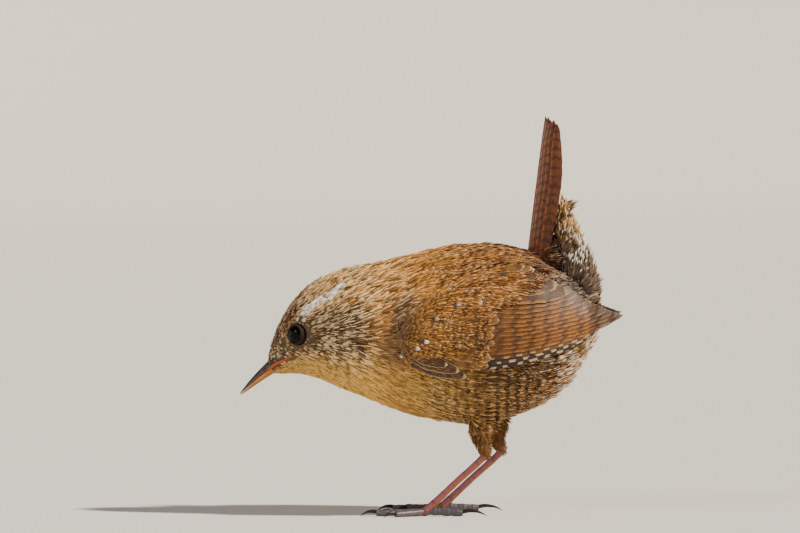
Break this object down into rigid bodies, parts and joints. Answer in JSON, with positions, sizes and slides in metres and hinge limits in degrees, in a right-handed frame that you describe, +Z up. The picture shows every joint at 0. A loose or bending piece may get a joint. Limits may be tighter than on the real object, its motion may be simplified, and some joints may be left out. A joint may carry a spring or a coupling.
{
  "type": "wren",
  "caption": "Life-size still model of a wren leaning forward with its bill lowered and its short tail cocked upright.",
  "frame": {"origin": "on the ground under the middle of the whole bird", "axes": "the bird faces -X, its left side faces -Y, +Z is up"},
  "size_m": [0.0786, 0.0368, 0.0816],
  "materials": {
    "plumage": "soft body feathers, golden brown with fine darker bars, paler below",
    "pale_plumage": "loose feathers under the tail, buff and white with brown bars",
    "wing_feathers": "firm feathers with a shaft, rufous brown with dark bars",
    "tail_feathers": "firm feathers, dark rufous with narrow dark bars",
    "eye": "wet, glossy, nearly black",
    "bill_dark": "horn, dark slate with a soft gloss",
    "bill_orange": "horn and soft gape, orange yellow",
    "leg_skin": "scaled skin, pinkish brown",
    "toe_skin": "scaled skin, dark slate, claws darker and smoother"
  },
  "bodies": {
    "root": {"head": "plumage", "neck": "plumage", "torso": "plumage", "eye_left": "eye", "eye_right": "eye", "bill_upper": "bill_dark", "bill_lower": "bill_orange", "wing_left": "wing_feathers", "wing_right": "wing_feathers", "tail": "tail_feathers", "undertail": "pale_plumage", "thigh_left": "plumage", "thigh_right": "plumage", "shank_left": "leg_skin", "shank_right": "leg_skin", "toe_inner_left": "toe_skin", "toe_middle_left": "toe_skin", "toe_outer_left": "toe_skin", "toe_hind_left": "toe_skin", "toe_inner_right": "toe_skin", "toe_middle_right": "toe_skin", "toe_outer_right": "toe_skin", "toe_hind_right": "toe_skin"}
  },
  "joints": []
}
